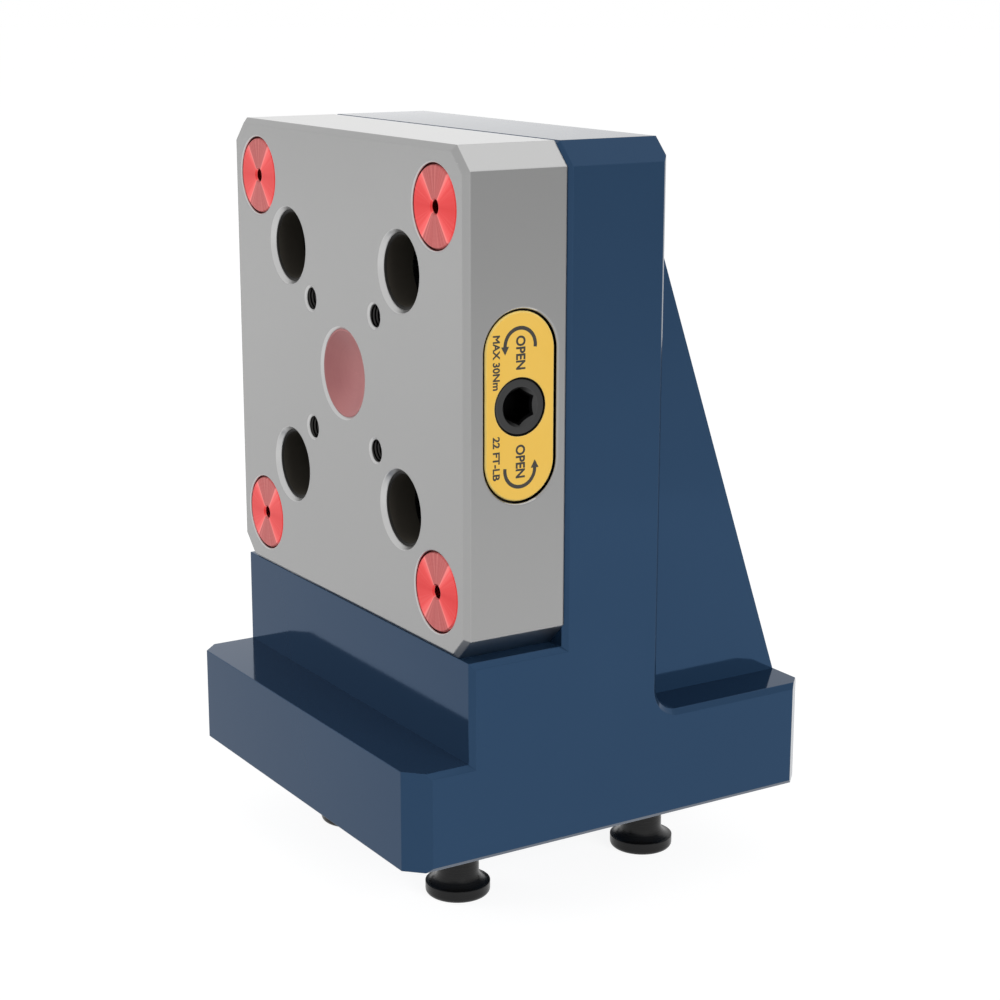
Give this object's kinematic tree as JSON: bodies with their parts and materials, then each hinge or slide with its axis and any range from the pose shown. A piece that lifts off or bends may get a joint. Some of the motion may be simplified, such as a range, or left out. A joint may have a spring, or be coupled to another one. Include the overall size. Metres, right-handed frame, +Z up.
{
  "type": "zero point clamping plate",
  "caption": "Square zero point clamping plate standing upright on a blue right-angle bracket, with stud receivers, a hexagon drive spindle and pull studs under the base.",
  "frame": {"origin": "on the surface that the pull studs stand on, midway between the four studs", "axes": "+Z up, +X to the right as seen from the front of the clamping plate (the drive spindle's side), +Y to the rear; the plate faces -Y"},
  "size_m": [0.108, 0.1076, 0.173],
  "materials": {
    "bracket_blue": "clear dark blue finish on ground metal, glossy",
    "plate_steel": "fine blasted, plated",
    "cover_steel": "ground",
    "black_screw": "black oxide",
    "ground_steel": "ground",
    "black_steel": "black oxide",
    "receiver_black": "hardened, black",
    "bronze": "turned",
    "seal_rubber": "moulded",
    "label_yellow": "printed, satin",
    "plug_red": "turned, red anodised",
    "centre_red": "turned, faded red anodised"
  },
  "bodies": {
    "housing": {"angle_bracket": "bracket_blue", "clamp_plate": "plate_steel", "back_cover": "cover_steel", "cover_screws": "black_screw", "mounting_screws": "black_screw", "dowel_pins": "ground_steel", "retaining_bush": "black_steel", "pull_stud_1": "black_steel", "pull_stud_2": "black_steel", "pull_stud_3": "black_steel", "pull_stud_4": "black_steel", "receiver_bush_1": "receiver_black", "receiver_bush_2": "receiver_black", "receiver_bush_3": "receiver_black", "receiver_bush_4": "receiver_black", "drive_bush": "bronze", "tail_bush": "bronze", "plug_seals": "seal_rubber", "label_plate": "label_yellow", "corner_plug_1": "plug_red", "corner_plug_2": "plug_red", "corner_plug_3": "plug_red", "corner_plug_4": "plug_red", "centre_plug": "centre_red"},
    "spindle": {"spindle": "black_steel", "spindle_seal": "seal_rubber"},
    "slide_left": {"slide_left": "ground_steel"},
    "slide_right": {"slide_right": "ground_steel"}
  },
  "joints": [
    {"name": "spindle_turn", "type": "hinge", "parent": "housing", "child": "spindle", "pos_m": [0, -0.02685, 0.119], "axis": [-1, 0, 0], "range_deg": [0, 720]},
    {"name": "slide_left_travel", "type": "slide", "parent": "housing", "child": "slide_left", "axis": [1, 0, 0], "range_m": [0, 0.004]},
    {"name": "slide_right_travel", "type": "slide", "parent": "housing", "child": "slide_right", "axis": [-1, 0, 0], "range_m": [0, 0.004]}
  ],
  "couplings": [
    {"joint": "slide_left_travel", "follows": "slide_right_travel", "ratio": 1},
    {"joint": "spindle_turn", "follows": "slide_right_travel", "rad_per_m": 3141.6}
  ]
}
